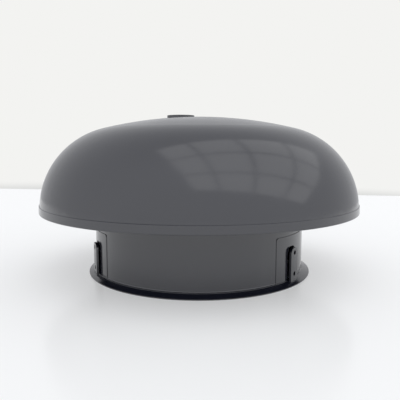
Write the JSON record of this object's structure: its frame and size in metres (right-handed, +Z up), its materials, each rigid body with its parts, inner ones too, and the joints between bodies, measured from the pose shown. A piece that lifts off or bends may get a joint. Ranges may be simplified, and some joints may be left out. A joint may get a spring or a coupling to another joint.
{
  "type": "mushroom vent cap",
  "caption": "Domed plastic hood on legs over a flanged collar that slides over a round vent pipe, letting air out below the rim and keeping rain off.",
  "frame": {"origin": "on the pipe's axis, at the underside of the collar's flange", "axes": "+Z up along the pipe's axis towards the hood's crown; +Y through one of the clamping tabs and the leg above it"},
  "size_m": [0.2499, 0.25, 0.1235],
  "materials": {
    "hood_plastic": "polished-mould gloss, anthracite grey",
    "collar_plastic": "polished-mould gloss, anthracite grey"
  },
  "bodies": {
    "root": {"hood": "hood_plastic", "collar": "collar_plastic"}
  },
  "joints": []
}
